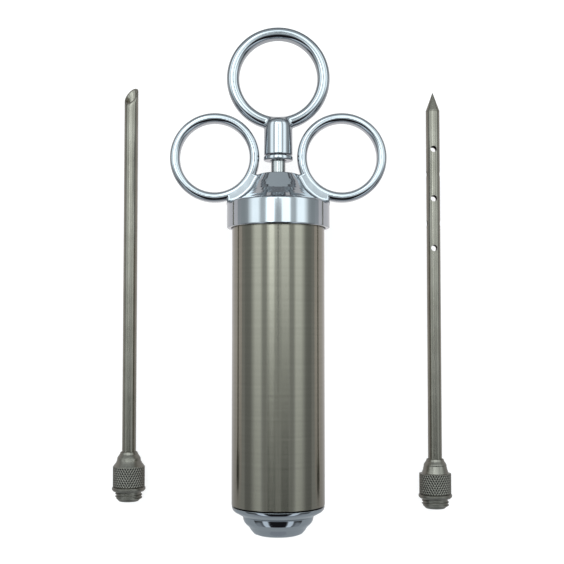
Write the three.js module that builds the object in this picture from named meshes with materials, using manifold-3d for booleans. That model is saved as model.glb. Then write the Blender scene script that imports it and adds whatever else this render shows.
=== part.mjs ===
// Meat injector: a plunger syringe with a three-ring grip, lying between its two loose needles.
// Millimetres. +X is to the right, +Y runs up the barrel to the thumb ring and +Z is up from the
// table. The origin is on the table, under the middle of the set. Heights named below are counted
// along each piece's own axis: from the barrel's lower rim on the injector, and from the threaded
// end on a needle.

import * as THREE from 'three';
import { mergeVertices } from 'three/addons/utils/BufferGeometryUtils.js';
import Module from 'manifold-3d';

const manifold = await Module();
manifold.setup();

// ---- Driving dimensions ----

const GAP = 0.3;

// Facets round a full turn.
const WIDE_FACETS = 36;
const HUB_FACETS = 24;
const SEAL_FACETS = 24;
const SMALL_FACETS = 20;
const HOLE_FACETS = 10;

// Where the pieces lie.
const INJECTOR_X = -1.3;
const INJECTOR_Y = -77.35;
const NEEDLE_X = 54.35;
const SLANT_NEEDLE_END = -0.85;
const PENCIL_NEEDLE_END = -3.35;

// Barrel.
const BARREL_RADIUS = 16;
const BORE_RADIUS = 14.8;
const BARREL_LENGTH = 100.9;
const SHOULDER_HEIGHT = 95.9;

// Screw thread between barrel and cap.
const CAP_THREAD = {
  pitch: 1.5,
  male: { root: 15.35, crest: 15.85, start: 96.5, turns: 2.5 },
  female: { root: 16.15, crest: 15.55, start: 97.25, turns: 2 },
  footWidth: 0.8,
  crestWidth: 0.35,
};

// Screw thread between needle and nose.
const NEEDLE_THREAD = {
  pitch: 1,
  male: { root: 4.35, crest: 4.75, start: 0.95, turns: 2.125 },
  female: { root: 4.9, crest: 4.55, start: -9.6, turns: 3 },
  footWidth: 0.6,
  crestWidth: 0.25,
};
const RUN_OUT_TURNS = 0.15;
const RIDGE_ROOTING = 0.3;

// Cap and finger rings.
const CAP_RADIUS = 17.8;
const SKIRT_BOTTOM = 94.8;
const SKIRT_TOP = 103.9;
const CAP_CEILING = 102.4;
const NECK_TOP = 113.7;
const NECK_TOP_RADIUS = 6.3;
const FINGER_RING = { x: 22.1, height: 119.45, outer: 15.55, inner: 12.15, depth: 5, facets: 32 };
const WEB_THICKNESS = 3.6;

// Plunger.
const ROD_RADIUS = 2.5;
const STUD_RADIUS = 2;
const ROD_TOP = 127;
const ROD_SHOULDER = 14.1;
const THUMB_RING = { height: 147.3, outer: 17.95, inner: 13.65, depth: 5.2, facets: 36 };
const COLLAR = { bottom: 118.4, top: 119.95, radius: 5.1 };
const THUMB_HUB = { bottom: 120.25, radius: 4.95, top: 133.5 };

// Piston.
const PISTON_RADIUS = 14.4;
const PISTON_BOTTOM = 5.3;
const GROOVE_BOTTOM = 7.7;
const GROOVE_TOP = 11.3;
const PISTON_TOP = 13.8;
const GROOVE_RADIUS = 11.2;
const PISTON_RING_THICKNESS = 3;
const NUT_ACROSS_FLATS = 7;

// Nose.
const NOSE_END = -10;
const SOCKET_FLOOR = -5.1;
const PASSAGE_RADIUS = 1.5;
const SPIGOT_RADIUS = 14.5;
const SPIGOT_TOP = 5;
const NUT_WELL_RADIUS = 5.6;
const NOSE_RING_THICKNESS = 1.3;

// Needles.
const TUBE_RADIUS = 2.45;
const TUBE_BORE = 1.9;
const TUBE_START = 6;
const SLANT_TIP = 148.15;
const BEVEL_LENGTH = 6.9;
const BEVEL_FACING = -25;
const PENCIL_SHOULDER = 141.9;
const PENCIL_TIP = 148.5;
const SIDE_HOLE = { radius: 1.15, highest: 127.8, pitch: 8.9, count: 5 };
const FLANGE_RADIUS = 5.89;
const KNURL = { bottom: 5.15, top: 12.2, crest: 5.62, valley: 5.2, rows: 5 };

// ---- Materials ----

const finish = (color, roughness, metalness) =>
  new THREE.MeshStandardMaterial({ color, roughness, metalness });
const chrome = finish(0xc3cbd2, 0.08, 1);
const brushedSteel = finish(0x8b8c82, 0.38, 1);
const polishedSteel = finish(0xc9cac5, 0.15, 1);
const satinSteel = finish(0x82837c, 0.42, 1);
const sealRubber = finish(0x2b2b2b, 0.7, 0);
const siliconeRubber = finish(0xd8d9d4, 0.55, 0);
const nylon = finish(0xe6e2d6, 0.5, 0);

// ---- Working with solids ----

function toSolid(geometry) {
  const bare = geometry.clone();
  bare.deleteAttribute('normal');
  bare.deleteAttribute('uv');
  const merged = mergeVertices(bare, 1e-4);
  const corners = [];
  for (let i = 0; i < merged.index.count; i += 3) {
    const [a, b, c] = [0, 1, 2].map((step) => merged.index.getX(i + step));
    if (a !== b && b !== c && c !== a) {
      corners.push(a, b, c);
    }
  }
  return new manifold.Manifold(new manifold.Mesh({
    numProp: 3,
    vertProperties: Float32Array.from(merged.attributes.position.array),
    triVerts: Uint32Array.from(corners),
  }));
}

function toGeometry(solid) {
  const mesh = solid.getMesh();
  const geometry = new THREE.BufferGeometry();
  geometry.setAttribute('position', new THREE.BufferAttribute(mesh.vertProperties, 3));
  geometry.setIndex(new THREE.BufferAttribute(mesh.triVerts, 1));
  geometry.computeVertexNormals();
  return geometry;
}

function join(first, ...others) {
  return others.reduce((solid, other) => solid.add(other), first);
}

function cut(first, ...others) {
  return others.reduce((solid, other) => solid.subtract(other), first);
}

// Turns an outline of [radius, height] points round the Y axis. The outline runs with the material
// on its left, and either closes on itself or starts and ends on the axis.
function turned(outline, facets = WIDE_FACETS) {
  const points = outline.map(([radius, height]) => new THREE.Vector2(radius, height));
  if (outline[0][0] > 0) {
    points.push(points[0].clone());
  }
  return toSolid(new THREE.LatheGeometry(points, facets));
}

function tubeOutline(inner, outer, bottom, top) {
  return [[inner, bottom], [outer, bottom], [outer, top], [inner, top]];
}

// Points of an arc in an outline, from one angle to another in degrees, 0 pointing away from the axis.
function arc(radiusCentre, heightCentre, size, from, to, steps) {
  return Array.from({ length: steps + 1 }, (_, i) => {
    const angle = THREE.MathUtils.degToRad(THREE.MathUtils.lerp(from, to, i / steps));
    return [radiusCentre + size * Math.cos(angle), heightCentre + size * Math.sin(angle)];
  });
}

// A round ring of circular section about the Y axis.
function sealRing(meanRadius, height, thickness) {
  return turned(arc(meanRadius, height, thickness / 2, 0, 300, 5), SEAL_FACETS);
}

// A right-handed screw ridge about the Y axis, tapering into its root at both ends.
function screwRidge(thread, side, facets) {
  const { root, crest, start, turns } = thread[side];
  const outward = Math.sign(crest - root);
  const foot = root - outward * RIDGE_ROOTING;
  const sunk = root - outward * RIDGE_ROOTING / 3;
  const slope = (thread.footWidth - thread.crestWidth) / Math.abs(crest - root);
  const footWidth = thread.footWidth + slope * RIDGE_ROOTING;
  const ridge = new THREE.BoxGeometry(1, 1, 1, Math.round(turns * facets), 1, 1);
  const corners = ridge.attributes.position;
  for (let i = 0; i < corners.count; i += 1) {
    const along = corners.getX(i) + 0.5;
    const onCrest = corners.getY(i) > 0;
    const grown = Math.min(1, (Math.min(along, 1 - along) * turns) / RUN_OUT_TURNS);
    const radius = onCrest ? THREE.MathUtils.lerp(sunk, crest, grown) : foot;
    const width = onCrest ? thread.crestWidth : footWidth;
    const angle = along * turns * 2 * Math.PI;
    const height = start + along * turns * thread.pitch - outward * corners.getZ(i) * width;
    corners.setXYZ(i, radius * Math.sin(angle), height, radius * Math.cos(angle));
  }
  return toSolid(ridge);
}

// A finger or thumb ring: an oval-section ring about the Z axis, its middle at x and height.
function gripRing({ x = 0, height, outer, inner, depth, facets }) {
  const sectionPoints = 10;
  const middle = (outer + inner) / 2;
  const squared = (value) => Math.sign(value) * Math.abs(value) ** 0.8;
  const outline = Array.from({ length: sectionPoints }, (_, i) => {
    const angle = (i / sectionPoints) * 2 * Math.PI;
    return [
      middle + ((outer - inner) / 2) * squared(Math.cos(angle)),
      (depth / 2) * squared(Math.sin(angle)),
    ];
  });
  return turned(outline, facets).rotate([90, 0, 0]).translate([x, height, 0]);
}

function addPiece(group, name, solid, material) {
  const mesh = new THREE.Mesh(toGeometry(solid), material);
  mesh.name = name;
  group.add(mesh);
}

// ---- Barrel and nose ----

function barrelTube() {
  const { root } = CAP_THREAD.male;
  const tube = turned([
    [BORE_RADIUS, 0],
    [BARREL_RADIUS, 0],
    [BARREL_RADIUS, SHOULDER_HEIGHT],
    [root, SHOULDER_HEIGHT + GAP],
    [root, BARREL_LENGTH - 0.2],
    [root - 0.2, BARREL_LENGTH],
    [BORE_RADIUS, BARREL_LENGTH],
  ]);
  return join(tube, screwRidge(CAP_THREAD, 'male', WIDE_FACETS));
}

function noseCap() {
  const socket = NEEDLE_THREAD.female.root;
  const body = turned([
    [socket + 0.3, NOSE_END],
    [7.2, NOSE_END],
    ...arc(7.2, NOSE_END + 2.4, 2.4, -60, 0, 2),
    [10.2, -7.3],
    [11.95, -5.7],
    [12.25, -4.1],
    [13.3, -3.75],
    ...arc(12.4, -GAP, 3.5, -60, 0, 3),
    [SPIGOT_RADIUS, -GAP],
    [SPIGOT_RADIUS, 0.8],
    [13, 0.8],
    [13, 3],
    [SPIGOT_RADIUS, 3],
    [SPIGOT_RADIUS, SPIGOT_TOP - 0.3],
    [SPIGOT_RADIUS - 0.3, SPIGOT_TOP],
    [NUT_WELL_RADIUS, SPIGOT_TOP - 0.4],
    [NUT_WELL_RADIUS, -0.5],
    [PASSAGE_RADIUS, -2.6],
    [PASSAGE_RADIUS, SOCKET_FLOOR],
    [socket, SOCKET_FLOOR],
    [socket, NOSE_END + 0.3],
  ]);
  return join(body, screwRidge(NEEDLE_THREAD, 'female', WIDE_FACETS / 2));
}

function buildBarrel(group) {
  addPiece(group, 'barrel_tube', barrelTube(), brushedSteel);
  addPiece(group, 'nose_cap', noseCap(), chrome);
  addPiece(group, 'nose_seal_ring', sealRing(13.95, 1.9, NOSE_RING_THICKNESS), sealRubber);
  const washer = turned(tubeOutline(1.9, 4.25, -6.6, SOCKET_FLOOR - GAP), SMALL_FACETS);
  addPiece(group, 'needle_socket_washer', washer, siliconeRubber);
}

// ---- Cap with its two finger rings ----

function capBody() {
  const { root } = CAP_THREAD.female;
  const bushBore = 4.5;
  const rodHole = 2.9;
  const lip = 1.5;
  return turned([
    [root + 0.15, SKIRT_BOTTOM],
    [CAP_RADIUS - 0.3, SKIRT_BOTTOM],
    [CAP_RADIUS, SKIRT_BOTTOM + 0.3],
    [CAP_RADIUS, SKIRT_TOP - 0.4],
    [CAP_RADIUS - 0.4, SKIRT_TOP],
    [14.6, SKIRT_TOP + 0.4],
    [9, SKIRT_TOP + 5.4],
    [8.1, SKIRT_TOP + 6.6],
    [NECK_TOP_RADIUS + 0.45, NECK_TOP - 0.4],
    [NECK_TOP_RADIUS, NECK_TOP],
    [rodHole, NECK_TOP],
    [rodHole, NECK_TOP - lip],
    [bushBore, NECK_TOP - lip],
    [bushBore, CAP_CEILING],
    [root, CAP_CEILING],
    [root, SKIRT_BOTTOM + 1.8],
    [root + 0.15, SKIRT_BOTTOM + 1.6],
  ]);
}

// The flat web that ties a finger ring to the neck and the skirt's top edge.
function ringWeb() {
  const { x, height, outer } = FINGER_RING;
  const insideNeck = 5;
  const belowSkirtTop = SKIRT_TOP - 0.6;
  const outline = [
    [insideNeck, NECK_TOP - 1.1],
    ...arc(x, height, outer - 0.95, 203, 252, 8),
    [CAP_RADIUS - 0.3, belowSkirtTop],
    [insideNeck, belowSkirtTop],
  ];
  const shape = new THREE.Shape(outline.map(([px, py]) => new THREE.Vector2(px, py)));
  const web = new THREE.ExtrudeGeometry(shape, { depth: WEB_THICKNESS, bevelEnabled: false });
  web.translate(0, 0, -WEB_THICKNESS / 2);
  return toSolid(web);
}

function buildCap(group) {
  const ringWithWeb = join(gripRing(FINGER_RING), ringWeb());
  const casting = join(
    capBody(),
    ringWithWeb,
    ringWithWeb.rotate([0, 180, 0]),
    screwRidge(CAP_THREAD, 'female', WIDE_FACETS),
  );
  addPiece(group, 'finger_grip_cap', casting, chrome);
  const gasket = tubeOutline(14.2, 15.9, BARREL_LENGTH + GAP, CAP_CEILING - GAP);
  addPiece(group, 'cap_gasket', turned(gasket), siliconeRubber);
  const bushTop = NECK_TOP - 1.8;
  const flangeTop = CAP_CEILING - GAP;
  const bush = turned([
    [ROD_RADIUS + GAP, flangeTop - 1.2],
    [7, flangeTop - 1.2],
    [7, flangeTop],
    [4.2, flangeTop],
    [4.2, bushTop],
    [ROD_RADIUS + GAP, bushTop],
  ], SMALL_FACETS);
  addPiece(group, 'rod_guide_bush', bush, nylon);
}

// ---- Plunger ----

function thumbRing() {
  const bore = ROD_RADIUS + GAP;
  const { bottom, radius, top } = THUMB_HUB;
  const hub = turned([
    [0, ROD_TOP + GAP],
    [bore, ROD_TOP + GAP],
    [bore, bottom],
    [radius - 0.3, bottom],
    [radius, bottom + 0.3],
    [radius - 0.05, top - 3.9],
    [radius - 0.45, top - 2],
    [radius - 1.55, top - 0.8],
    [radius - 3.15, top - 0.15],
    [0, top],
  ]);
  return join(gripRing(THUMB_RING), hub);
}

function plungerRod() {
  return turned([
    [0, 0],
    [STUD_RADIUS - 0.3, 0],
    [STUD_RADIUS, 0.3],
    [STUD_RADIUS, ROD_SHOULDER],
    [ROD_RADIUS, ROD_SHOULDER],
    [ROD_RADIUS, ROD_TOP - 0.3],
    [ROD_RADIUS - 0.3, ROD_TOP],
    [0, ROD_TOP],
  ], SMALL_FACETS);
}

function lockCollar() {
  const { bottom, top, radius } = COLLAR;
  return turned([
    [ROD_RADIUS + GAP, bottom],
    [radius - 0.5, bottom],
    [radius, bottom + 0.5],
    [radius, top - 0.3],
    [radius - 0.3, top],
    [ROD_RADIUS + GAP, top],
  ]);
}

function hexNut(acrossFlats, bore, bottom, height) {
  const cornerRadius = acrossFlats / Math.sqrt(3);
  const prism = new THREE.CylinderGeometry(cornerRadius, cornerRadius, height, 6);
  const hole = new THREE.CylinderGeometry(bore, bore, 2 * height, SMALL_FACETS);
  return cut(toSolid(prism), toSolid(hole)).translate([0, bottom + height / 2, 0]);
}

function buildPlunger(group) {
  const studHole = STUD_RADIUS + GAP;
  addPiece(group, 'plunger_rod', plungerRod(), polishedSteel);
  addPiece(group, 'rod_lock_collar', lockCollar(), chrome);
  addPiece(group, 'thumb_ring', thumbRing(), chrome);
  const backPlate = turned([
    [studHole, GROOVE_TOP],
    [PISTON_RADIUS, GROOVE_TOP],
    [PISTON_RADIUS, PISTON_TOP - 0.4],
    [PISTON_RADIUS - 0.4, PISTON_TOP],
    [studHole, PISTON_TOP],
  ]);
  addPiece(group, 'piston_back_plate', backPlate, polishedSteel);
  const frontPlate = turned([
    [studHole, PISTON_BOTTOM],
    [PISTON_RADIUS - 0.4, PISTON_BOTTOM],
    [PISTON_RADIUS, PISTON_BOTTOM + 0.4],
    [PISTON_RADIUS, GROOVE_BOTTOM],
    [GROOVE_RADIUS, GROOVE_BOTTOM],
    [GROOVE_RADIUS, GROOVE_TOP - GAP],
    [studHole, GROOVE_TOP - GAP],
  ]);
  addPiece(group, 'piston_front_plate', frontPlate, polishedSteel);
  const ringRadius = GROOVE_RADIUS + GAP + PISTON_RING_THICKNESS / 2;
  const ringHeight = (GROOVE_BOTTOM + GROOVE_TOP) / 2;
  const pistonRing = sealRing(ringRadius, ringHeight, PISTON_RING_THICKNESS);
  addPiece(group, 'piston_o_ring', pistonRing, siliconeRubber);
  const washer = turned(tubeOutline(studHole, 4.6, 4.1, 4.9), SMALL_FACETS);
  addPiece(group, 'piston_lock_washer', washer, polishedSteel);
  addPiece(group, 'piston_nut', hexNut(NUT_ACROSS_FLATS, studHole, 0.6, 3.2), polishedSteel);
}

// ---- Needles ----

// A sleeve with crossed diagonal grooves: alternate corners of the grid stand proud.
function knurledSleeve() {
  const { bottom, top, crest, valley, rows } = KNURL;
  const core = valley - 0.6;
  const rim = Array.from({ length: rows + 1 }, (_, row) => {
    return new THREE.Vector2(crest, THREE.MathUtils.lerp(bottom, top, row / rows));
  });
  const profile = [new THREE.Vector2(core, bottom), ...rim, new THREE.Vector2(core, top)];
  profile.push(profile[0].clone());
  const sleeve = new THREE.LatheGeometry(profile, HUB_FACETS);
  const corners = sleeve.attributes.position;
  for (let i = 0; i < corners.count; i += 1) {
    const step = i % profile.length;
    const column = Math.floor(i / profile.length);
    const onRim = step > 0 && step <= rim.length;
    if (onRim && (step + column) % 2 === 0) {
      corners.setX(i, corners.getX(i) * (valley / crest));
      corners.setZ(i, corners.getZ(i) * (valley / crest));
    }
  }
  return toSolid(sleeve);
}

function needleHub() {
  const { root } = NEEDLE_THREAD.male;
  const tubeSeat = TUBE_RADIUS + GAP;
  const body = turned([
    [TUBE_BORE, 0],
    [root - 0.95, 0],
    [root, 0.95],
    [root, 3.5],
    [FLANGE_RADIUS - 0.54, 3.5],
    [FLANGE_RADIUS, 4.05],
    [FLANGE_RADIUS, 4.8],
    [KNURL.valley, KNURL.bottom],
    [KNURL.valley - 0.1, KNURL.top],
    [4.6, KNURL.top + 0.55],
    [4.1, 15.2],
    [3.8, 15.75],
    [3.3, 16.4],
    [tubeSeat + 0.2, 17.3],
    [tubeSeat, 17.3],
    [tubeSeat, TUBE_START - GAP],
    [TUBE_BORE, TUBE_START - GAP],
  ]);
  return join(body, knurledSleeve(), screwRidge(NEEDLE_THREAD, 'male', HUB_FACETS));
}

// An open tube ground off at a slant. The ground face looks up and is turned towards one side.
function slantTube() {
  const tube = turned(tubeOutline(TUBE_BORE, TUBE_RADIUS, TUBE_START, SLANT_TIP), SMALL_FACETS);
  const size = 6 * TUBE_RADIUS;
  const tilt = THREE.MathUtils.radToDeg(Math.atan2(BEVEL_LENGTH, 2 * TUBE_RADIUS));
  const waste = toSolid(new THREE.BoxGeometry(size, size, size))
    .translate([0, size / 2, 0])
    .rotate([tilt, 0, 0])
    .rotate([0, BEVEL_FACING, 0])
    .translate([0, SLANT_TIP - BEVEL_LENGTH / 2, 0]);
  return cut(tube, waste);
}

// A straight tube cross-drilled in turn from the top and from the side.
function pencilTube() {
  const end = PENCIL_SHOULDER - GAP;
  const tube = turned(tubeOutline(TUBE_BORE, TUBE_RADIUS, TUBE_START, end), SMALL_FACETS);
  const { radius, highest, pitch, count } = SIDE_HOLE;
  const drill = toSolid(new THREE.CylinderGeometry(radius, radius, 4 * TUBE_RADIUS, HOLE_FACETS));
  const holes = Array.from({ length: count }, (_, i) => {
    const turn = i % 2 === 0 ? [90, 0, 0] : [0, 0, 90];
    return drill.rotate(turn).translate([0, highest - i * pitch, 0]);
  });
  return cut(tube, ...holes);
}

function pencilTip() {
  const plugRadius = TUBE_BORE - GAP;
  return turned([
    [0, PENCIL_SHOULDER - 4],
    [plugRadius, PENCIL_SHOULDER - 4],
    [plugRadius, PENCIL_SHOULDER],
    [TUBE_RADIUS, PENCIL_SHOULDER],
    [0.1, PENCIL_TIP - 0.1],
    [0, PENCIL_TIP],
  ], SMALL_FACETS);
}

function buildSlantNeedle(group) {
  addPiece(group, 'slant_needle_tube', slantTube(), satinSteel);
  addPiece(group, 'slant_needle_hub', needleHub(), satinSteel);
}

function buildPencilNeedle(group) {
  addPiece(group, 'pencil_needle_tube', pencilTube(), satinSteel);
  addPiece(group, 'pencil_needle_tip', pencilTip(), satinSteel);
  addPiece(group, 'pencil_needle_hub', needleHub(), satinSteel);
}

// ---- The whole set ----

function placedGroup(x, y, z, ...builders) {
  const group = new THREE.Group();
  group.position.set(x, y, z);
  builders.forEach((build) => build(group));
  return group;
}

const set = new THREE.Group();
set.add(placedGroup(INJECTOR_X, INJECTOR_Y, CAP_RADIUS, buildBarrel, buildCap, buildPlunger));
set.add(placedGroup(-NEEDLE_X, INJECTOR_Y + SLANT_NEEDLE_END, FLANGE_RADIUS, buildSlantNeedle));
set.add(placedGroup(NEEDLE_X, INJECTOR_Y + PENCIL_NEEDLE_END, FLANGE_RADIUS, buildPencilNeedle));

export default set;
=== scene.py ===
"""Meat injector: a plunger syringe with a three-ring grip, lying between its two loose needles.

Outlines and sizes of the pieces are in millimetres, as (radius, height): heights count along +Y from
the barrel's lower rim on the injector, and from the threaded end on a needle. Everything placed in the
scene is in metres, in the frame's own axes.
"""

import math

import bpy
import numpy as np
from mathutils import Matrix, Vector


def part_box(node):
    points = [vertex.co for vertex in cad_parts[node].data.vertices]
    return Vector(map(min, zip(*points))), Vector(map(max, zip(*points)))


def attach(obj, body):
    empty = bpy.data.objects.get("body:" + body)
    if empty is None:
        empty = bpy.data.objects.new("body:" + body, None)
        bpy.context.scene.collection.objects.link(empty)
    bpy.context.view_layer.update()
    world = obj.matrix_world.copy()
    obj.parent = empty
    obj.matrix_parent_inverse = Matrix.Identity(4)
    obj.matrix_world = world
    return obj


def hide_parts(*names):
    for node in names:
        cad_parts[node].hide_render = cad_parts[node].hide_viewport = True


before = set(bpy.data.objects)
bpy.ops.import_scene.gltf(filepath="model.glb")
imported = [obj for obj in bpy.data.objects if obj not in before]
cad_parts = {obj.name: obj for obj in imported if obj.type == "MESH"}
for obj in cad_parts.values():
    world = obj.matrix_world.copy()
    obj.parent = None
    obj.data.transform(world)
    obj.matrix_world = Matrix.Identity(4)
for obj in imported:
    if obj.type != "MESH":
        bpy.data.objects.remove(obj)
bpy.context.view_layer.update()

MM = 0.001

# ---- Driving sizes, in millimetres ----

BARREL_RADIUS = 16
BORE_RADIUS = 14.8
BARREL_LENGTH = 100.9
SHOULDER = 95.9

CAP_RADIUS = 17.8
SKIRT_BOTTOM = 94.8
SKIRT_TOP = 103.9
CAP_CEILING = 102.4
NECK_TOP = 113.7
NECK_BORE = 4.5

ROD_RADIUS = 2.5
ROD_TOP = 127
THUMB_HUB_RADIUS = 4.95
HUB_BOTTOM = 120.25
HUB_TOP = 133.5

# The piston's pieces on the rod's thin stud, lower and upper face of each.
NUT = (0.6, 3.8)
FRONT_PLATE = (5.3, 11)
BACK_PLATE = (11.3, 13.8)
STUD_TOP = 14.1
STUD_RADIUS = 2
STUD_BORE = STUD_RADIUS + 0.3
PLATE_RADIUS = 14.4
NUT_ACROSS_FLATS = 7

# Seals and washers.
NOSE_SEAL = {"mean": 13.95, "height": 1.9, "thickness": 1.3}
PISTON_SEAL = {"mean": 13, "height": 9.5, "thickness": 3}
GASKET = {"inner": 14.2, "outer": 15.9, "bottom": 101.2, "top": 102.1}
SOCKET_WASHER = {"inner": 1.9, "outer": 4.25, "bottom": -6.6, "top": -5.4}
LOCK_WASHER = {"inner": STUD_BORE, "outer": 4.6, "bottom": 4.1, "top": 4.9}

TUBE_RADIUS = 2.45
TUBE_BORE = 1.9
TUBE_START = 6
PENCIL_TUBE_END = 141.6

# Grip rings: middle across and up, mean radius, half the width and half the depth of the section.
FINGER_RING = {"x": 22.1, "height": 119.45, "mean": 13.85, "width": 1.7, "depth": 2.5, "round": 1.5}
THUMB_RING = {"x": 0, "height": 147.3, "mean": 15.8, "width": 2.15, "depth": 2.6, "round": 1.9}

# Screw ridges: pitch, where each starts, its turns, and the radius of its root and its crest.
BARREL_THREAD = {"pitch": 1.5, "start": 96.5, "turns": 2.5, "root": 15.35, "crest": 15.85}
CAP_THREAD = {"pitch": 1.5, "start": 97.25, "turns": 2, "root": 16.15, "crest": 15.55}
NEEDLE_THREAD = {"pitch": 1, "start": 0.95, "turns": 2.125, "root": 4.35, "crest": 4.75}
SOCKET_THREAD = {"pitch": 1, "start": -9.6, "turns": 3, "root": 4.9, "crest": 4.55}

# The hubs' knurled band: crossing ridges, each rising by so much over the space to the next start.
KNURL = {"bottom": 5.15, "top": 12.2, "crest": 5.62, "depth": 0.3, "starts": 38, "rise": 1.6}
# Outline of each needle's cone above the knurl.
SLANT_CONE = [(5.5, 12.3), (5.2, 12.75), (4.6, 13.5), (4.2, 14.3), (4.1, 15.2)]
PENCIL_CONE = [(5.2, 12.22), (4.75, 12.3), (4.3, 13.6), (4, 14.9), (4.05, 15.2)]
# The ground face of the slant needle, turned from straight up towards the left by so many degrees.
BEVEL = {"tip": 148.15, "length": 6.9, "facing": 25}
# The pencil needle's cross holes, from the highest one down.
SIDE_HOLE = {"radius": 1.15, "highest": 127.8, "pitch": 8.9, "count": 5}

# Fineness of the meshes: columns round a turned piece, and grid steps of the castings.
COLUMNS = 192
KNURL_COLUMNS = 288
TUBE_COLUMNS = 96
CASTING_STEP = 0.35
THUMB_STEP = 0.3

# ---- Outlines ----


def arc(radius, height, size, start, end, steps=8):
    """Points of an arc, from one angle to another in degrees, 0 pointing away from the axis."""
    angles = np.radians(np.linspace(start, end, steps + 1))
    return [(radius + size * math.cos(a), height + size * math.sin(a)) for a in angles]


def tube_outline(inner, outer, bottom, top):
    return [(inner, bottom), (outer, bottom), (outer, top), (inner, top)]


def climb(radius, bottom, top, step):
    """Points up a straight wall, evenly spaced."""
    heights = np.linspace(bottom, top, max(2, round((top - bottom) / step) + 1))
    return [(radius, height) for height in heights]


def soften(outline, size, sharp=0):
    """Rounds an outline's corners, with support points that keep the flats beside them flat.

    Corners at the sharp radius stay as they are. By default that is the axis. Slight bends of a
    curve drawn with points stay too.
    """
    slight_bend, share_of_flat, support = math.radians(14), 0.35, 1.7
    points = np.array(outline, float)
    rounded = []
    for before, corner, after in zip(np.roll(points, 1, 0), points, np.roll(points, -1, 0)):
        back, forth = before - corner, after - corner
        lengths = np.linalg.norm(back), np.linalg.norm(forth)
        back, forth = back / lengths[0], forth / lengths[1]
        turn = math.pi - math.acos(np.clip(back @ forth, -1, 1))
        if corner[0] == sharp or turn < slight_bend:
            rounded.append(tuple(corner))
            continue
        reach = min(size * math.tan(turn / 2), share_of_flat * min(lengths))
        if lengths[0] > 5 * reach:
            rounded.append(tuple(corner + back * reach * support))
        for t in np.linspace(0, 1, 5):
            rounded.append(tuple(corner + back * reach * (1 - t) ** 2 + forth * reach * t**2))
        if lengths[1] > 5 * reach:
            rounded.append(tuple(corner + forth * reach * support))
    return rounded


# ---- Shapes: (vertices in millimetres, faces, normals or None) ----


def revolve(outline, columns=COLUMNS, warp=None):
    """Turns a closed outline round the Y axis. warp moves its (radius, height) points by angle."""
    profile = np.array(outline, float)
    following = np.roll(profile, -1, 0)
    if np.sum(profile[:, 0] * following[:, 1] - following[:, 0] * profile[:, 1]) < 0:
        profile = profile[::-1]
    angle = np.arange(columns)[None, :] * 2 * math.pi / columns
    radius, height = (np.repeat(profile[:, i : i + 1], columns, 1) for i in (0, 1))
    if warp:
        radius, height = warp(radius, height, angle)
    grid = np.stack((radius * np.sin(angle), height, radius * np.cos(angle)), -1)
    index = np.arange(radius.size).reshape(radius.shape)
    on_axis = profile[:, 0] == 0
    index[on_axis] = index[on_axis, :1]
    faces = []
    for row in range(len(profile)):
        below, above = index[row], index[(row + 1) % len(profile)]
        if on_axis[row] and on_axis[(row + 1) % len(profile)]:
            continue
        quads = np.stack((below, np.roll(below, -1), np.roll(above, -1), above), -1)
        if on_axis[row]:
            quads = quads[:, [0, 2, 3]]
        elif on_axis[(row + 1) % len(profile)]:
            quads = quads[:, [0, 1, 2]]
        faces += quads.tolist()
    return prune(grid.reshape(-1, 3), faces)


def prune(vertices, faces):
    """Drops the vertices that no face uses."""
    used = np.unique(np.concatenate([np.array(face) for face in faces]))
    renumbered = np.full(len(vertices), -1)
    renumbered[used] = np.arange(len(used))
    return vertices[used], [renumbered[face].tolist() for face in faces], None


def screw_ridge(pitch, start, turns, root, crest, run_out=0.15, rooting=0.25):
    """A right-handed screw ridge about the Y axis, sunk into its wall and tapering at both ends."""
    outward = math.copysign(1, crest - root)
    foot_half, crest_half = 0.3 * pitch, 0.125 * pitch
    shoulder = crest - outward * 0.06
    section = [
        (root - outward * rooting, -foot_half - 0.1),
        (root, -foot_half),
        (shoulder, -crest_half - 0.03),
        (crest, -crest_half + 0.03),
        (crest, crest_half - 0.03),
        (shoulder, crest_half + 0.03),
        (root, foot_half),
        (root - outward * rooting, foot_half + 0.1),
    ]
    steps = round(turns * 96)
    along = np.linspace(0, turns, steps + 1)[:, None]
    grown = np.clip(np.minimum(along, turns - along) / run_out, 0.02, 1)
    sunk = root - outward * rooting
    radius = sunk + (np.array([r for r, _ in section])[None, :] - sunk) * grown
    height = start + along * pitch + np.array([h for _, h in section])[None, :] * outward
    angle = along * 2 * math.pi
    vertices = np.stack((radius * np.sin(angle), height, radius * np.cos(angle)), -1)
    count = len(section)
    index = np.arange(radius.size).reshape(radius.shape)
    faces = [index[0].tolist(), index[-1, ::-1].tolist()]
    for row in range(steps):
        low, high = index[row], index[row + 1]
        faces += [
            [low[(i + 1) % count], low[i], high[i], high[(i + 1) % count]] for i in range(count)
        ]
    return vertices.reshape(-1, 3), faces, None


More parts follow.
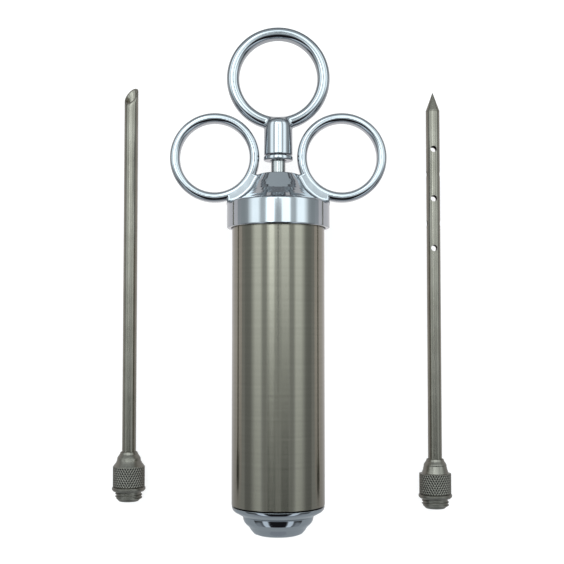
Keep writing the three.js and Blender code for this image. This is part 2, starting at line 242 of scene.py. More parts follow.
def surface(distance, low, high, step):
    """The closed surface where a signed distance is zero, by surface nets, with exact normals."""
    axes = [np.arange(a - 2 * step, b + 3 * step, step) for a, b in zip(low, high)]
    grid = distance(*np.meshgrid(*axes, indexing="ij"))
    inside = grid < 0
    total = np.zeros(grid.shape + (3,))
    count = np.zeros(grid.shape)
    edges = []
    for axis in range(3):
        lower = tuple(slice(0, -1) if i == axis else slice(None) for i in range(3))
        upper = tuple(slice(1, None) if i == axis else slice(None) for i in range(3))
        crossing = inside[lower] != inside[upper]
        corner = np.argwhere(crossing)
        first, second = grid[lower][crossing], grid[upper][crossing]
        point = corner.astype(float)
        point[:, axis] += first / (first - second)
        across, up = np.eye(3, dtype=int)[(axis + 1) % 3], np.eye(3, dtype=int)[(axis + 2) % 3]
        cells = [corner, corner - across, corner - across - up, corner - up]
        for cell in cells:
            np.add.at(total, tuple(cell.T), point)
            np.add.at(count, tuple(cell.T), 1)
        edges.append((cells, inside[lower][crossing]))
    active = count > 0
    index = np.zeros(grid.shape, int)
    index[active] = np.arange(active.sum())
    vertices = total[active] / count[active][:, None] * step + [axis[0] for axis in axes]
    faces = []
    for cells, outward in edges:
        quads = np.stack([index[tuple(cell.T)] for cell in cells], -1)
        faces += np.where(outward[:, None], quads, quads[:, ::-1]).tolist()
    vertices = settled(distance, vertices, 0.5 * step)
    normals = gradient(distance, vertices)
    normals /= np.linalg.norm(normals, axis=1)[:, None]
    return vertices, faces, normals


def settled(distance, points, farthest):
    """Points moved onto the surface in a few steps, each no longer than the farthest allowed."""
    for _ in range(4):
        slope = gradient(distance, points)
        steepness = np.maximum((slope**2).sum(1), 0.2)
        shift = slope * (distance(*points.T) / steepness)[:, None]
        excess = np.maximum(np.linalg.norm(shift, axis=1) / farthest, 1)
        points = points - shift / excess[:, None]
    return points


def gradient(distance, points, reach=0.02):
    """The slope of a distance at each point, from its change over a short reach."""
    slopes = []
    for axis in range(3):
        offset = np.eye(3)[axis] * reach
        slopes.append(distance(*(points + offset).T) - distance(*(points - offset).T))
    return np.stack(slopes, -1) / (2 * reach)


def polygon_distance(outline, across, up):
    """Signed distance to a closed polygon in its plane, negative inside."""
    nearest = np.full(across.shape, np.inf)
    inside = np.zeros(across.shape, bool)
    for (ax, ay), (bx, by) in zip(outline, outline[1:] + outline[:1]):
        edge_x, edge_y = bx - ax, by - ay
        share = ((across - ax) * edge_x + (up - ay) * edge_y) / (edge_x**2 + edge_y**2)
        share = np.clip(share, 0, 1)
        gap = (across - ax - share * edge_x) ** 2 + (up - ay - share * edge_y) ** 2
        nearest = np.minimum(nearest, gap)
        if edge_y:
            inside ^= ((ay > up) != (by > up)) & (across < (up - ay) / edge_y * edge_x + ax)
    return np.where(inside, -1, 1) * np.sqrt(nearest)


def rounded_box(across, up, rounding):
    """Signed distance from a box's rounded edge, given the distances past its two faces."""
    first, second = across + rounding, up + rounding
    outside = np.hypot(np.maximum(first, 0), np.maximum(second, 0))
    return outside + np.minimum(np.maximum(first, second), 0) - rounding


def ring_distance(ring, x, height, z):
    """Signed distance to a grip ring of rounded rectangular section."""
    radius = np.hypot(x - ring["x"], height - ring["height"])
    across = np.abs(radius - ring["mean"]) - ring["width"]
    return rounded_box(across, np.abs(z) - ring["depth"], ring["round"])


def blended(first, second, width):
    """The union of two solids with a fillet between them."""
    overlap = np.maximum(width - np.abs(first - second), 0) / width
    return np.minimum(first, second) - overlap**2 * width / 4


def merged(*shapes):
    """Several shapes as one. Where a shape has no normals of its own, Blender works them out."""
    vertices, faces, normals = [], [], []
    for points, polygons, directions in shapes:
        start = sum(len(part) for part in vertices)
        faces += [[corner + start for corner in polygon] for polygon in polygons]
        vertices.append(points)
        normals.append(np.zeros(points.shape) if directions is None else directions)
    return np.concatenate(vertices), faces, np.concatenate(normals)


# ---- Pieces ----


def seat(node):
    """The middle of a node's lower end across its axis, in metres."""
    low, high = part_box(node)
    return (low.x + high.x) / 2, low.y, (low.z + high.z) / 2


def linked(name, data):
    """A new object in the scene."""
    body = bpy.data.objects.new(name, data)
    bpy.context.scene.collection.objects.link(body)
    return body


def build_mesh(name, shape):
    """A smooth-shaded mesh in metres."""
    vertices, faces, normals = shape
    mesh = bpy.data.meshes.new(name)
    mesh.from_pydata((vertices * MM).tolist(), [], faces)
    mesh.shade_smooth()
    if normals is not None and np.any(normals):
        mesh.normals_split_custom_set_from_vertices(normals.tolist())
    return mesh


def add_piece(name, shape, place, body, node, slot, material):
    """A finished piece that stands for a CAD node, made from a shape or from a ready mesh."""
    mesh = shape if isinstance(shape, bpy.types.Mesh) else build_mesh(name, shape)
    mesh.materials.clear()
    mesh.materials.append(material)
    piece = linked(name, mesh)
    piece.location = place
    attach(piece, body)
    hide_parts(node)


# ---- Barrel and nose ----


def barrel_shape():
    """The tube, turned down at its upper end for the cap's thread."""
    root = BARREL_THREAD["root"]
    outline = [
        (BORE_RADIUS, 0),
        (BARREL_RADIUS, 0),
        (BARREL_RADIUS, SHOULDER),
        (root, SHOULDER + 0.3),
        (root, BARREL_LENGTH - 0.2),
        (root - 0.2, BARREL_LENGTH),
        (BORE_RADIUS, BARREL_LENGTH),
    ]
    return merged(revolve(soften(outline, 0.12)), screw_ridge(**BARREL_THREAD))


def nose_shape():
    """The end cap: a knob with the needle socket, a dome, and a plug grooved for its seal."""
    socket = SOCKET_THREAD["root"]
    end, socket_floor = -10, -5.1
    plug, groove = 14.5, 13
    outline = [
        (socket + 0.3, end),
        (7.4, end),
        (8.4, -9.6),
        (9.35, -8.5),
        (9.97, -7.5),
        (10.3, -7.15),
        (11.1, -6.45),
        (11.62, -5.8),
        (11.93, -5.1),
        (12.2, -3.8),
        (12.4, -3.65),
        *arc(13.9, -0.5, 2, -56, 0, 10),
        (plug, -0.3),
        (plug, 0.8),
        (groove, 0.8),
        (groove, 3),
        (plug, 3),
        (plug, 4.7),
        (plug - 0.3, 5),
        (5.6, 4.6),
        (5.6, -0.5),
        (1.5, -2.6),
        (1.5, socket_floor),
        (socket, socket_floor),
        (socket, end + 0.3),
    ]
    return merged(revolve(soften(outline, 0.25)), screw_ridge(**SOCKET_THREAD))


# ---- Cap with its two finger rings ----

# Where a casting's outline is closed, well past the axis that it is measured from.
PAST_AXIS = -20

CAP_OUTLINE = [
    (PAST_AXIS, SKIRT_BOTTOM),
    (CAP_RADIUS - 0.35, SKIRT_BOTTOM),
    *arc(CAP_RADIUS - 0.35, SKIRT_BOTTOM + 0.35, 0.35, -67, 0, 3),
    *arc(CAP_RADIUS - 0.6, SKIRT_TOP - 0.6, 0.6, 0, 75, 5),
    (16.2, SKIRT_TOP),
    (15.2, SKIRT_TOP + 0.25),
    (14, SKIRT_TOP + 0.75),
    (12.2, SKIRT_TOP + 1.95),
    (10.9, SKIRT_TOP + 3.1),
    (9.9, SKIRT_TOP + 4.15),
    (9.2, SKIRT_TOP + 5.15),
    (8.6, SKIRT_TOP + 6.2),
    (8.1, SKIRT_TOP + 7.25),
    *arc(6.35, NECK_TOP - 0.45, 0.45, 26, 90, 5),
    (PAST_AXIS, NECK_TOP),
]
CAP_HOLLOW = [
    (PAST_AXIS, SKIRT_BOTTOM - 9),
    (CAP_THREAD["root"] + 0.15, SKIRT_BOTTOM - 9),
    (CAP_THREAD["root"] + 0.15, SKIRT_BOTTOM + 1.6),
    (CAP_THREAD["root"], SKIRT_BOTTOM + 1.8),
    (CAP_THREAD["root"], CAP_CEILING),
    (NECK_BORE, CAP_CEILING),
    (NECK_BORE, NECK_TOP - 1.5),
    (ROD_RADIUS + 0.4, NECK_TOP - 1.5),
    (ROD_RADIUS + 0.4, NECK_TOP + 9),
    (PAST_AXIS, NECK_TOP + 9),
]


def web_outline():
    """The flat web from a finger ring to the neck and the skirt's top edge, flush with the ring."""
    top, bottom = NECK_TOP - 1.1, SKIRT_TOP - 0.6
    inside_neck = 3
    ring = FINGER_RING
    return [
        (inside_neck, top),
        (5, top),
        *arc(ring["x"], ring["height"], ring["mean"] - 0.6, 203, 252, 16),
        (CAP_RADIUS - 0.3, bottom),
        (inside_neck, bottom),
    ]


def cap_distance(x, height, z):
    """Signed distance to the casting: cap, neck, webs and rings in one, hollowed from below."""
    side = np.abs(x)
    body = polygon_distance(CAP_OUTLINE, np.hypot(x, z), height)
    ring = ring_distance(FINGER_RING, side, height, z)
    past_edge = polygon_distance(web_outline(), side, height)
    web = rounded_box(past_edge, np.abs(z) - FINGER_RING["depth"], 0.8)
    hollow = polygon_distance(CAP_HOLLOW, np.hypot(x, z), height)
    return np.maximum(blended(body, np.minimum(ring, web), 1.0), -hollow)


def cap_shape():
    reach = FINGER_RING["x"] + FINGER_RING["mean"] + FINGER_RING["width"]
    top = FINGER_RING["height"] + FINGER_RING["mean"] + FINGER_RING["width"]
    low, high = (-reach, SKIRT_BOTTOM, -CAP_RADIUS), (reach, top, CAP_RADIUS)
    return merged(surface(cap_distance, low, high, CASTING_STEP), screw_ridge(**CAP_THREAD))


def bush_shape():
    """The flanged bush in the neck that guides the rod."""
    bore, sleeve, flange = ROD_RADIUS + 0.3, NECK_BORE - 0.3, 7
    ceiling = CAP_CEILING - 0.3
    outline = [
        (bore, ceiling - 1.2),
        (flange, ceiling - 1.2),
        (flange, ceiling),
        (sleeve, ceiling),
        (sleeve, NECK_TOP - 1.8),
        (bore, NECK_TOP - 1.8),
    ]
    return revolve(soften(outline, 0.15))


# ---- Plunger ----

THUMB_HUB_OUTLINE = [
    (PAST_AXIS, HUB_BOTTOM),
    *arc(THUMB_HUB_RADIUS - 0.35, HUB_BOTTOM + 0.35, 0.35, -80, 0, 5),
    (THUMB_HUB_RADIUS - 0.02, HUB_TOP - 4.5),
    *arc(THUMB_HUB_RADIUS - 3.2, HUB_TOP - 3.15, 3.15, 4, 86, 12),
    (PAST_AXIS, HUB_TOP),
]
THUMB_BORE = [
    (PAST_AXIS, HUB_BOTTOM - 5),
    (ROD_RADIUS + 0.3, HUB_BOTTOM - 5),
    (ROD_RADIUS + 0.3, ROD_TOP + 0.3),
    (PAST_AXIS, ROD_TOP + 0.3),
]


def thumb_distance(x, height, z):
    """Signed distance to the casting: hub and ring in one, bored for the rod."""
    radius = np.hypot(x, z)
    hub = polygon_distance(THUMB_HUB_OUTLINE, radius, height)
    ring = ring_distance(THUMB_RING, x, height, z)
    bore = polygon_distance(THUMB_BORE, radius, height)
    return np.maximum(blended(hub, ring, 0.7), -bore)


def thumb_shape():
    reach = THUMB_RING["mean"] + THUMB_RING["width"]
    low = (-reach, HUB_BOTTOM, -THUMB_HUB_RADIUS)
    high = (reach, THUMB_RING["height"] + reach, THUMB_HUB_RADIUS)
    return surface(thumb_distance, low, high, THUMB_STEP)


def rod_shape():
    """The rod, with a thinner stud below for the piston."""
    outline = [
        (0, 0),
        (STUD_RADIUS, 0),
        (STUD_RADIUS, STUD_TOP),
        (ROD_RADIUS, STUD_TOP),
        (ROD_RADIUS, ROD_TOP),
        (0, ROD_TOP),
    ]
    return revolve(soften(outline, 0.25))


def collar_shape():
    """The round nut that locks the rod in the hub."""
    bore, outside = ROD_RADIUS + 0.3, THUMB_HUB_RADIUS + 0.15
    return revolve(soften(tube_outline(bore, outside, HUB_BOTTOM - 1.85, HUB_BOTTOM - 0.3), 0.45))


def hexagon(radius, height, angle):
    """Warps a round wall of the nut's corner radius into a hexagon, and leaves the bore round."""
    corner, core = NUT_ACROSS_FLATS / math.sqrt(3), STUD_BORE + 0.3
    side = (angle + math.pi / 6) % (math.pi / 3) - math.pi / 6
    flat = corner * math.cos(math.pi / 6) / np.cos(side)
    share = np.clip((radius - core) / (corner - core), 0, 1)
    return radius + share * (flat - corner), height


def nut_shape():
    bottom, top = NUT
    corner = NUT_ACROSS_FLATS / math.sqrt(3)
    outline = [
        (STUD_BORE, bottom),
        (corner - 0.3, bottom),
        (corner, bottom + 0.2),
        (corner, top - 0.2),
        (corner - 0.3, top),
        (STUD_BORE, top),
    ]
    return revolve(soften(outline, 0.08), warp=hexagon)


def back_plate_shape():
    return revolve(soften(tube_outline(STUD_BORE, PLATE_RADIUS, *BACK_PLATE), 0.35))


def front_plate_shape():
    """The plate that carries the piston's seal on its narrower step."""
    bottom, top = FRONT_PLATE
    step_radius, step_height = 11.2, bottom + 2.4
    outline = [
        (STUD_BORE, bottom),
        (PLATE_RADIUS, bottom),
        (PLATE_RADIUS, step_height),
        (step_radius, step_height),
        (step_radius, top),
        (STUD_BORE, top),
    ]
    return revolve(soften(outline, 0.3))


def seal_shape(mean, height, thickness):
    return revolve(arc(mean, height, thickness / 2, 0, 345, 23))


def washer_shape(inner, outer, bottom, top):
    return revolve(soften(tube_outline(inner, outer, bottom, top), 0.12))


# ---- Needles ----


def knurled(radius, height, angle):
    """Sinks the diamonds between two crossing sets of ridges into the knurled band."""
    crest_width, steepness = 0.2, 1.4
    on_band = np.isclose(radius, KNURL["crest"])
    turn = KNURL["starts"] * angle / (2 * math.pi)
    rise = (height - KNURL["bottom"]) / KNURL["rise"]
    away = [1 - np.abs(2 * ((turn + sign * rise) % 1) - 1) for sign in (1, -1)]
    cut = np.clip(steepness * np.minimum(*away) - crest_width, 0, 1)
    return radius - on_band * cut * KNURL["depth"], height


def hub_shape(cone):
    """A needle hub. The cone above its knurl differs between the two needles."""
    root = NEEDLE_THREAD["root"]
    outline = [
        (TUBE_BORE, 0),
        (root - 0.95, 0),
        (root, 0.95),
        (root, 3.5),
        (5.35, 3.5),
        (5.89, 4.05),
        (5.89, 4.8),
        (5.3, 5.1),
        *climb(KNURL["crest"], KNURL["bottom"], KNURL["top"], KNURL["rise"] / 16),
        *cone,
        (3.8, 15.75),
        (3.3, 16.4),
        (2.95, 17.3),
        (2.75, 17.3),
        (2.75, TUBE_START - 0.3),
        (TUBE_BORE, TUBE_START - 0.3),
    ]
    outline = soften(outline, 0.12, sharp=KNURL["crest"])
    return merged(revolve(outline, KNURL_COLUMNS, knurled), screw_ridge(**NEEDLE_THREAD))


def slanted(radius, height, angle):
    """Shears the tube's upper end to the ground face's slope."""
    facing = math.radians(BEVEL["facing"])
    out = radius * (np.cos(angle) * math.cos(facing) - np.sin(angle) * math.sin(facing))
    middle = BEVEL["tip"] - BEVEL["length"] / 2
    face = middle - BEVEL["length"] / 2 / TUBE_RADIUS * out
    start = BEVEL["tip"] - 2 * BEVEL["length"]
    share = np.clip((height - start) / (BEVEL["tip"] - start), 0, None)
    return radius, np.where(height > start, start + share * (face - start), height)


def tube_walls(end, step):
    """Both walls of a needle tube in short lengths, with the edges of its end rim eased."""
    ease = 0.04
    return [
        *climb(TUBE_RADIUS, TUBE_START, end - ease, step),
        (TUBE_RADIUS - ease, end),
        (TUBE_BORE + ease, end),
        *climb(TUBE_BORE, TUBE_START, end - ease, step)[::-1],
    ]


def slant_tube_shape():
    return revolve(tube_walls(BEVEL["tip"], 2), TUBE_COLUMNS, slanted)


def pencil_tube_mesh():
    """The straight tube with its cross holes, drilled in turn from the top and from the side."""
    walls = revolve(tube_walls(PENCIL_TUBE_END, 0.9), TUBE_COLUMNS)
    tube = linked("drilled", build_mesh("drilled", walls))
    holes = range(SIDE_HOLE["count"])
    drills = [linked("drill", build_mesh("drill", drill_shape(hole))) for hole in holes]
    for drill in drills:
        cut = tube.modifiers.new("cut", "BOOLEAN")
        cut.operation = "DIFFERENCE"
        cut.solver = "EXACT"
        cut.object = drill
    evaluated = tube.evaluated_get(bpy.context.evaluated_depsgraph_get())
    mesh = bpy.data.meshes.new_from_object(evaluated)
    for body in [tube, *drills]:
        bpy.data.objects.remove(body)
    mesh.shade_smooth()
    mesh.set_sharp_from_angle(angle=math.radians(35))
    return mesh


def drill_shape(number):
    """A cylinder through the tube at one of the holes, from the top or from the side."""
    radius, reach = SIDE_HOLE["radius"], 2 * TUBE_RADIUS
    outline = [(0, -reach), (radius, -reach), (radius, reach), (0, reach)]
    vertices, faces, _ = revolve(outline, 40)
    x, y, z = vertices.T
    turned = (x, z, -y) if number % 2 == 0 else (y, -x, z)
    height = SIDE_HOLE["highest"] - number * SIDE_HOLE["pitch"]
    return np.stack(turned, -1) + [0, height, 0], faces, None


def pencil_tip_shape():
    """A solid point, with a plug that sits in the tube."""
    plug_radius, plug_length = 1.6, 3.7
    foot, point = PENCIL_TUBE_END + 0.04, PENCIL_TUBE_END + 6.9
    outline = [
        (0, PENCIL_TUBE_END - plug_length),
        (plug_radius, PENCIL_TUBE_END - plug_length),
        (plug_radius, foot),
        (TUBE_RADIUS, foot),
        (TUBE_RADIUS, foot + 0.26),
        (0.12, point - 0.15),
        (0.06, point - 0.03),
        (0, point),
    ]
    return revolve(soften(outline, 0.05), TUBE_COLUMNS)


# ---- Materials ----


class Nodes:
    """The nodes of a material or world: adds them, links them and sets the shader's sockets."""

    def __init__(self, owner, shader="Principled BSDF", place="Object"):
        owner.use_nodes = True
        self.owner = owner
        self.tree = owner.node_tree
        self.shader = self.tree.nodes[shader]
        self.place = self.add("TexCoord").outputs[place]

    def add(self, kind, inputs=(), **settings):
        """A new node, its inputs given by name or number, each a socket to link or a value."""
        node = self.tree.nodes.new("ShaderNode" + kind)
        for name, value in settings.items():
            setattr(node, name, value)
        for key, value in dict(inputs).items():
            self.put(node.inputs[key], value)
        return node

    def put(self, socket, value):
        if isinstance(value, bpy.types.NodeSocket):
            self.tree.links.new(value, socket)
        else:
            socket.default_value = value

    def set(self, **values):
        """Sets the shader's inputs, named with underscores for spaces."""
        for name, value in values.items():
            self.put(self.shader.inputs[name.replace("_", " ")], value)

    def noise(self, scale, detail=3, stretch=(1, 1, 1)):
        """Noise with features of about 1 / scale metres, squeezed along the axes by stretch."""
        place = self.add("Mapping", {"Vector": self.place, "Scale": stretch}).outputs[0]
        inputs = {"Vector": place, "Scale": scale, "Detail": detail}
        return self.add("TexNoise", inputs).outputs["Fac"]

    def ramp(self, value, *stops):
        """A colour, or a grey given as one number, by value."""
        node = self.add("ValToRGB", {"Fac": value})
        elements = node.color_ramp.elements
        while len(elements) < len(stops):
            elements.new(0.5)
        for element, (position, color) in zip(elements, stops):
            color = color if isinstance(color, tuple) else (color,) * 3
            element.position, element.color = position, (*color, 1)
        return node.outputs["Color"]

    def spread(self, value, low, high, start=0.3, end=0.7):
        """Maps the middle of a noise's range to low .. high."""
        inputs = {"Value": value, "From Min": start, "From Max": end, "To Min": low, "To Max": high}
        return self.add("MapRange", inputs).outputs["Result"]

    def mix(self, share, first, second):
        """The first colour, with the second over it by share."""
        return self.add("Mix", {0: share, 6: first, 7: second}, data_type="RGBA").outputs[2]

    def multiply(self, first, second):
        return self.add("Math", {0: first, 1: second}, operation="MULTIPLY").outputs[0]

    def bump(self, height, depth, normal=None):
        """A bump of that depth in millimetres."""
        inputs = {"Height": height, "Strength": 1, "Distance": depth * MM}
        if normal:
            inputs["Normal"] = normal
        return self.add("Bump", inputs).outputs["Normal"]


def chrome():
    """Polished plating over a casting: nearly a mirror, faintly wavy, with fine wiping marks."""
    look = Nodes(bpy.data.materials.new("chrome"))
    tint = look.ramp(look.noise(90), (0.3, (0.42, 0.45, 0.475)), (0.7, (0.455, 0.48, 0.505)))
    wiping = look.noise(700, 2, (1, 0.15, 1))
    waves = look.bump(look.noise(160, 1), 0.01)
    grain = look.bump(look.noise(5200, 2), 0.0004, waves)
    look.set(Base_Color=tint, Metallic=1, Roughness=look.spread(wiping, 0.05, 0.11), Normal=grain)
    return look.owner


def brushed_steel():
    """Stainless tube brushed round its axis, which smears reflections along it."""
    look = Nodes(bpy.data.materials.new("brushed_steel"))
    fine = look.noise(900, 3, (0.02, 10, 0.02))
    coarse = look.noise(260, 2, (0.05, 4, 0.05))
    tint = look.ramp(coarse, (0.3, (0.266, 0.25, 0.205)), (0.7, (0.285, 0.268, 0.22)))
    around = look.add("Tangent", direction_type="RADIAL", axis="Y").outputs[0]
    look.set(
        Base_Color=tint,
        Metallic=1,
        Roughness=look.spread(fine, 0.13, 0.17),
        Anisotropic=1,
        Anisotropic_Rotation=0.25,
        Tangent=around,
        Normal=look.bump(fine, 0.0008),
    )
    return look.owner


def polished_steel():
    """Ground and polished bar or plate with faint turning marks."""
    look = Nodes(bpy.data.materials.new("polished_steel"))
    marks = look.noise(900, 2, (0.03, 6, 0.03))
    tint = look.ramp(marks, (0.3, (0.41, 0.42, 0.42)), (0.7, (0.46, 0.47, 0.46)))
    look.set(
        Base_Color=tint,
        Metallic=1,
        Roughness=look.spread(marks, 0.14, 0.22),
        Normal=look.bump(marks, 0.0012),
    )
    return look.owner


def satin_steel():
    """Drawn needle tube: satin, with fine lines along its length."""
    look = Nodes(bpy.data.materials.new("satin_steel"))
    lines = look.noise(1500, 3, (4, 0.02, 4))
    clouds = look.noise(120, 3)
    tint = look.ramp(clouds, (0.3, (0.228, 0.215, 0.18)), (0.7, (0.28, 0.265, 0.225)))
    look.set(
        Base_Color=tint,
        Metallic=1,
        Roughness=look.spread(lines, 0.2, 0.32),
        Normal=look.bump(lines, 0.004),
    )
    return look.owner


def knurl_pit_shade(look):
    """1 in the sunk diamonds of a hub's knurled band, where shade is painted, 0 elsewhere."""
    x, y, z = look.add("SeparateXYZ", {"Vector": look.place}).outputs
    flat = look.add("CombineXYZ", {"X": x, "Z": z}).outputs[0]
    radius = look.add("VectorMath", {0: flat}, operation="LENGTH").outputs["Value"]
    crest, bottom, top = (KNURL[key] * MM for key in ("crest", "bottom", "top"))
    sunk = look.spread(radius, 1, 0, crest - 0.17 * MM, crest - 0.05 * MM)
    above = look.spread(y, 0, 1, bottom - 0.1 * MM, bottom + 0.1 * MM)
    under = look.spread(y, 1, 0, top - 0.1 * MM, top + 0.05 * MM)
    return look.multiply(sunk, look.multiply(above, under))


def machined_steel():
    """Turned and knurled needle hub, with turning marks round its axis and painted shade in the knurl.
    """
    look = Nodes(bpy.data.materials.new("machined_steel"))
    marks = look.noise(1400, 3, (0.04, 5, 0.04))
    clouds = look.noise(200, 3)
    tint = look.ramp(clouds, (0.3, (0.205, 0.196, 0.169)), (0.7, (0.265, 0.252, 0.22)))
    look.set(
        # Painted shade: the knurl's sunk diamonds are coloured nearly black.
        Base_Color=look.mix(knurl_pit_shade(look), tint, (0.04, 0.04, 0.036, 1)),
        Metallic=1,
        Roughness=look.spread(marks, 0.28, 0.42),
        Normal=look.bump(marks, 0.004),
    )
    return look.owner


def moulded(name, dark, light, roughness, grain):
    """A moulded rubber or plastic with a fine grain."""
    look = Nodes(bpy.data.materials.new(name))
    clouds = look.noise(250, 4)
    look.set(
        Base_Color=look.ramp(clouds, (0.3, dark), (0.7, light)),
        Roughness=look.spread(clouds, roughness - 0.08, roughness + 0.08),
        Normal=look.bump(look.noise(4000, 2), grain),
    )
    return look.owner


# ---- Studio ----

# From the lower end of the barrel's axis, in metres, and the camera's tilt in radians.
CAMERA_ALONG = 0.05925
CAMERA_ABOVE = 0.3529
CAMERA_TILT = 0.048
FOCAL_LENGTH = 65.1
SENSOR_WIDTH = 36


def camera():
    """Nearly straight above the table, as in the photograph."""
    lens = bpy.data.cameras.new("camera")
    lens.lens = FOCAL_LENGTH
    lens.sensor_width = SENSOR_WIDTH
    lens.clip_start = 0.01
    view = linked("camera", lens)
    _, y, z = seat("barrel_tube")
    view.location = (0, y + CAMERA_ALONG, z + CAMERA_ABOVE)
    view.rotation_euler = (CAMERA_TILT, 0, 0)
    bpy.context.scene.camera = view


def flat_sheet(name, left, front, right, back, height, look):
    """A level rectangle that belongs to the studio."""
    mesh = bpy.data.meshes.new(name)
    corners = [(left, front), (right, front), (right, back), (left, back)]
    mesh.from_pydata([(x, y, height) for x, y in corners], [], [(0, 1, 2, 3)])
    mesh.materials.append(look.owner)
    sheet = linked(name, mesh)
    return sheet


# How far the floor reaches from the middle, and the square lamp over it: in metres and watts.
FLOOR_REACH = 3
FLOOR_GLOW = 0.78
LAMP_HEIGHT = 2
LAMP_SIZE = 3
LAMP_POWER = 16

# The pale card that the metal reflects: left, front, right, back, and its glow from front to back.
CARD = (-0.15, -0.089, 0.15, 0.098)
CARD_HEIGHT = 0.0001
# Painted light and shade: the card's glow is dimmest at the front, as painted shadow of the
# photographer on the floor, and a little dimmer at the back.
CARD_GLOW = [(0, (0.5, 0.5, 0.51)), (0.35, (0.8, 0.79, 0.8)), (0.65, (0.8, 0.78, 0.8)), (1, 0.64)]


def floor():
    """A white floor that glows faintly, so that it stays white. The metal doesn't reflect it."""
    paper = Nodes(bpy.data.materials.new("paper"))
    shade = paper.ramp(paper.noise(30, 2), (0.3, 0.34), (0.7, 0.36))
    paper.set(Base_Color=shade, Roughness=0.9, Specular_IOR_Level=0.1)
    paper.set(Emission_Color=(1, 1, 1, 1), Emission_Strength=FLOOR_GLOW)
    edges = (-FLOOR_REACH, -FLOOR_REACH, FLOOR_REACH, FLOOR_REACH)
    flat_sheet("floor", *edges, 0, paper).visible_glossy = False


def reflected_card():
    """The sheet that the metal reflects in place of the floor, glowing with the floor's light and
    shade painted in. Nothing else sees it.
    """
    card = Nodes(bpy.data.materials.new("card"), place="Generated")
    along = card.add("SeparateXYZ", {"Vector": card.place}).outputs["Y"]
    card.set(Base_Color=(0, 0, 0, 1), Specular_IOR_Level=0)
    card.set(Emission_Color=card.ramp(along, *CARD_GLOW), Emission_Strength=1)
    reflected = flat_sheet("card", *CARD, CARD_HEIGHT, card)
    for kind in ("camera", "diffuse", "shadow", "transmission", "volume_scatter"):
        setattr(reflected, "visible_" + kind, False)


def floor_light():
    """A wide soft light that brightens the floor and doesn't show in the metal."""
    panel = bpy.data.lights.new("floor_light", "AREA")
    panel.size = LAMP_SIZE
    panel.energy = LAMP_POWER
    lamp = linked("floor_light", panel)
    lamp.location = (0, 0, LAMP_HEIGHT)
    lamp.visible_glossy = False


def cool(value):
    """A grey of the lights, slightly blue."""
    return (0.91 * value, value, 1.03 * value)


SLATE = (0.37, 0.4, 0.43)
PALE_SLATE = (0.54, 0.6, 0.63)
NEARLY_BLACK = (0.015, 0.015, 0.018)

# Softboxes and walls by the angle round the object's length, in degrees from straight up: left, right.
BANDS = [
    (0, 2.4, 2.4),
    (25, 2.4, 2.4),
    (29, 0.85, 0.85),
    (38, 0.8, 0.8),
    (45, 1.9, 1.95),
    (58, 1.9, 1.95),
    (72, 0.55, 0.58),
    (80, 0.47, 0.45),
    (110, 0.48, 0.48),
]
# How much of the bands is seen, and the room beyond them, by the angle from straight up towards +Y.
BANDS_SEEN = [(-22, 0), (-16, 0.28), (-5, 0.3), (2, 0.75), (5.5, 1), (40, 1), (50, 0)]
ROOM = [
    (-60, (0.36, 0.39, 0.43)),
    (-36, (0.33, 0.36, 0.39)),
    (-31, (0.08, 0.085, 0.09)),
    (-23, (0.08, 0.085, 0.09)),
    (-12, (0.2, 0.215, 0.23)),
    (6, SLATE),
    (46, SLATE),
    (53, PALE_SLATE),
    (90, PALE_SLATE),
]
BELOW = [(-20, (0.44, 0.48, 0.51)), (5, (0.5, 0.53, 0.55)), (20, (0.26, 0.28, 0.3))]
SKIRTING = (0.05, 0.055, 0.06)

# Things in front of them, the nearest last: colour, then how much they cover by the angle round the
# object's length (angle, left, right) and by the angle towards +Y.
KEY_STRIP = (
    cool(3.7),
    [(8, 0, 0), (12, 1, 0), (20, 1, 0), (24, 0, 0)],
    [(0, 0), (7, 1), (38, 1), (48, 0)],
)
STRIP_END = (cool(0.09), [(0, 1, 1), (25, 1, 1), (29, 0, 0)], [(-40, 0), (-34, 1), (-4, 1), (5, 0)])
LENS = (cool(0.7), [(0, 1, 1), (6, 1, 1), (10, 0, 0)], [(-10, 0), (-2, 1), (7.3, 1), (8.2, 0)])
LENS_HOOD = (cool(0.45), [(0, 1, 1), (5, 1, 1), (8, 0, 0)], [(-24, 0), (-20, 1), (-9, 1), (-3, 0)])
POLE = (cool(0.3), [(0, 1, 1), (1, 1, 1), (2.2, 0, 0)], [(7.5, 0), (8.5, 1), (20, 1), (24, 0)])
PHOTOGRAPHER = (
    NEARLY_BLACK,
    [(0, 1, 1), (30, 1, 1), (37, 0, 0), (56, 0, 0), (60, 0.6, 0.6), (72, 0, 0)],
    [(-72, 0), (-66, 1), (-20, 1), (-15, 0)],
)
WINDOWS = (
    (0.9, 1.0, 1.1),
    [(35, 0, 0), (38, 1, 1), (54, 1, 1), (58, 0, 0)],
    [(-62, 0), (-56, 1), (-22, 1), (-16, 0)],
)
IN_FRONT = [KEY_STRIP, STRIP_END, LENS, LENS_HOOD, POLE, PHOTOGRAPHER, WINDOWS]


class Sky(Nodes):
    """The studio round the object, as light by direction."""

    def __init__(self, world):
        super().__init__(world, "Background", "Generated")
        x, y, z = self.add("SeparateXYZ", {"Vector": self.place}).outputs
        turn = self.add("Math", {0: x, 1: z}, operation="ARCTAN2").outputs[0]
        self.turn = self.centred(turn, 1 / (2 * math.pi))
        self.along = self.centred(y, 0.5)
        self.upward = self.centred(z, 0.5)

    def centred(self, value, scale):
        return self.add("Math", {0: value, 1: scale, 2: 0.5}, operation="MULTIPLY_ADD").outputs[0]

    def by_angle(self, stops):
        """Stops of (degrees round Y from straight up, left, right) as a ramp."""
        left = [(0.5 - a / 360, value) for a, value, _ in stops[::-1] if a]
        return self.ramp(self.turn, *left, *[(0.5 + a / 360, value) for a, _, value in stops])

    def by_rise(self, stops):
        """Stops of (degrees from straight up towards +Y, value) as a ramp."""
        rises = [(0.5 + math.sin(math.radians(a)) / 2, value) for a, value in stops]
        return self.ramp(self.along, *rises)


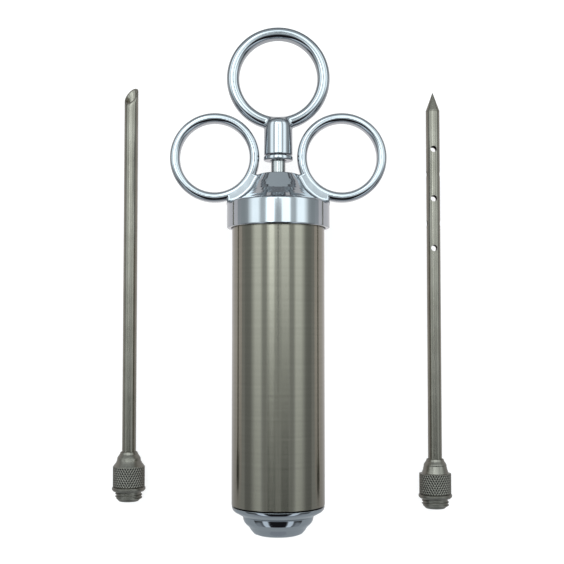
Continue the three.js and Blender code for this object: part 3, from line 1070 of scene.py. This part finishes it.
def studio():
    """Long softboxes over the table, a dim room, and the photographer at the -Y side."""
    world = bpy.data.worlds.new("studio")
    bpy.context.scene.world = world
    sky = Sky(world)
    bands = sky.by_angle([(a, cool(left), cool(right)) for a, left, right in BANDS])
    light = sky.mix(sky.by_rise(BANDS_SEEN), sky.by_rise(ROOM), bands)
    for color, width, rise in IN_FRONT:
        share = sky.multiply(sky.by_angle(width), sky.by_rise(rise))
        light = sky.mix(share, light, (*color, 1))
    low_down = sky.ramp(sky.upward, (0.5, 1), (0.515, 1), (0.53, 0))
    share = sky.multiply(sky.by_rise([(25, 0), (40, 1)]), low_down)
    light = sky.mix(share, light, (*SKIRTING, 1))
    under = sky.ramp(sky.upward, (0.495, 1), (0.5, 0))
    sky.set(Color=sky.mix(under, light, sky.by_rise(BELOW)))


# ---- The object ----


def finishes():
    """Per finish, the name of the part's material slot, and its look."""
    return {
        "plated": ("chrome", chrome()),
        "brushed": ("brushed_steel", brushed_steel()),
        "polished": ("polished_steel", polished_steel()),
        "drawn": ("satin_steel", satin_steel()),
        "turned": ("satin_steel", machined_steel()),
        "rubber": ("black_rubber", moulded("rubber", (0.012,) * 3, (0.022,) * 3, 0.6, 0.01)),
        "silicone": ("silicone", moulded("silicone", (0.6, 0.6, 0.57), (0.7, 0.7, 0.67), 0.5, 0.006)),
        "nylon": ("nylon", moulded("nylon", (0.72, 0.7, 0.62), (0.8, 0.78, 0.7), 0.45, 0.006)),
    }


def build_pieces():
    """Every piece in its place, on the body that it moves with."""
    injector = seat("barrel_tube")
    slant, pencil = seat("slant_needle_hub"), seat("pencil_needle_hub")
    looks = finishes()

    # Per body, its pieces: name, the CAD node that it stands for, shape and finish.
    barrel = [
        ("barrel", "barrel_tube", barrel_shape(), "brushed"),
        ("nose", "nose_cap", nose_shape(), "plated"),
        ("nose_seal", "nose_seal_ring", seal_shape(**NOSE_SEAL), "rubber"),
        ("socket_washer", "needle_socket_washer", washer_shape(**SOCKET_WASHER), "silicone"),
    ]
    cap = [
        ("grip_cap", "finger_grip_cap", cap_shape(), "plated"),
        ("rod_bush", "rod_guide_bush", bush_shape(), "nylon"),
    ]
    plunger = [
        ("rod", "plunger_rod", rod_shape(), "polished"),
        ("collar", "rod_lock_collar", collar_shape(), "plated"),
        ("thumb_grip", "thumb_ring", thumb_shape(), "plated"),
        ("back_plate", "piston_back_plate", back_plate_shape(), "polished"),
        ("front_plate", "piston_front_plate", front_plate_shape(), "polished"),
        ("lock_washer", "piston_lock_washer", washer_shape(**LOCK_WASHER), "polished"),
        ("nut", "piston_nut", nut_shape(), "polished"),
    ]
    gasket = [("gasket", "cap_gasket", washer_shape(**GASKET), "silicone")]
    piston_ring = [("piston_ring", "piston_o_ring", seal_shape(**PISTON_SEAL), "silicone")]
    slant_needle = [
        ("slant_tube", "slant_needle_tube", slant_tube_shape(), "drawn"),
        ("slant_hub", "slant_needle_hub", hub_shape(SLANT_CONE), "turned"),
    ]
    pencil_needle = [
        ("pencil_tube", "pencil_needle_tube", pencil_tube_mesh(), "drawn"),
        ("pencil_tip", "pencil_needle_tip", pencil_tip_shape(), "drawn"),
        ("pencil_hub", "pencil_needle_hub", hub_shape(PENCIL_CONE), "turned"),
    ]
    bodies = [
        ("barrel", injector, barrel),
        ("cap_seal", injector, gasket),
        ("cap", injector, cap),
        ("piston_seal", injector, piston_ring),
        ("plunger", injector, plunger),
        ("slant_needle", slant, slant_needle),
        ("pencil_needle", pencil, pencil_needle),
    ]
    for body, place, pieces in bodies:
        for name, node, shape, finish in pieces:
            add_piece(name, shape, place, body, node, *looks[finish])


build_pieces()
camera()
floor()
reflected_card()
floor_light()
studio()
bpy.context.scene.view_settings.view_transform = "Standard"
